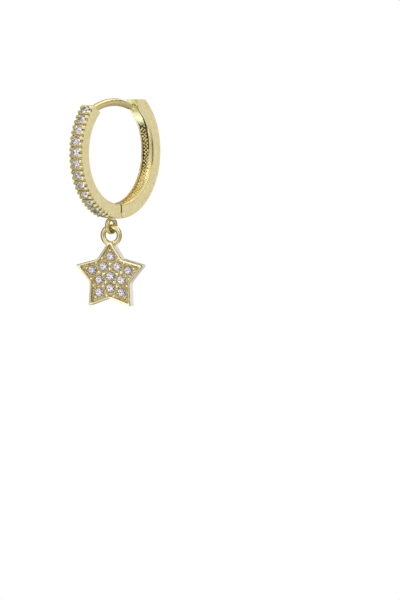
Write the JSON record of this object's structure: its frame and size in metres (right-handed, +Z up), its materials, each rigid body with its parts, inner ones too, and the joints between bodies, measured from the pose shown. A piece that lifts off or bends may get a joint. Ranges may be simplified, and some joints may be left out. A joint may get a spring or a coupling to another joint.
{
  "type": "hoop charm earring",
  "caption": "Hinged hoop earring with a row of small clear stones on its front half and a stone-set star charm hanging from a loop.",
  "frame": {"origin": "top of the ear wire's bow, on the wire's centre line, where the worn earring hangs in the ear", "axes": "+Z up, -Y towards the front of the hoop, X across the band, from side to side"},
  "size_m": [0.0072, 0.0141, 0.0218],
  "materials": {
    "gold": "satin",
    "clear_stone": "polished"
  },
  "bodies": {
    "front_half": {"front_hoop": "gold", "hoop_stone_01": "clear_stone", "hoop_stone_02": "clear_stone", "hoop_stone_03": "clear_stone", "hoop_stone_04": "clear_stone", "hoop_stone_05": "clear_stone", "hoop_stone_06": "clear_stone", "hoop_stone_07": "clear_stone", "hoop_stone_08": "clear_stone", "hoop_stone_09": "clear_stone", "hoop_stone_10": "clear_stone", "hoop_stone_11": "clear_stone", "hoop_stone_12": "clear_stone"},
    "back_half": {"back_hoop": "gold", "hinge_pin": "gold"},
    "star": {"star_charm": "gold", "star_stone_01": "clear_stone", "star_stone_02": "clear_stone", "star_stone_03": "clear_stone", "star_stone_04": "clear_stone", "star_stone_05": "clear_stone", "star_stone_06": "clear_stone", "star_stone_07": "clear_stone", "star_stone_08": "clear_stone", "star_stone_09": "clear_stone", "star_stone_10": "clear_stone", "star_stone_11": "clear_stone"}
  },
  "joints": [
    {"name": "hoop_hinge", "type": "hinge", "parent": "front_half", "child": "back_half", "pos_m": [0, 0.00081, -0.01178], "axis": [-1, 0, 0], "range_deg": [0, 45]},
    {"name": "star_swing", "type": "hinge", "parent": "front_half", "child": "star", "pos_m": [0, -0.00044, -0.0137], "axis": [0.342, -0.9397, 0], "range_deg": [-75, 75]}
  ]
}
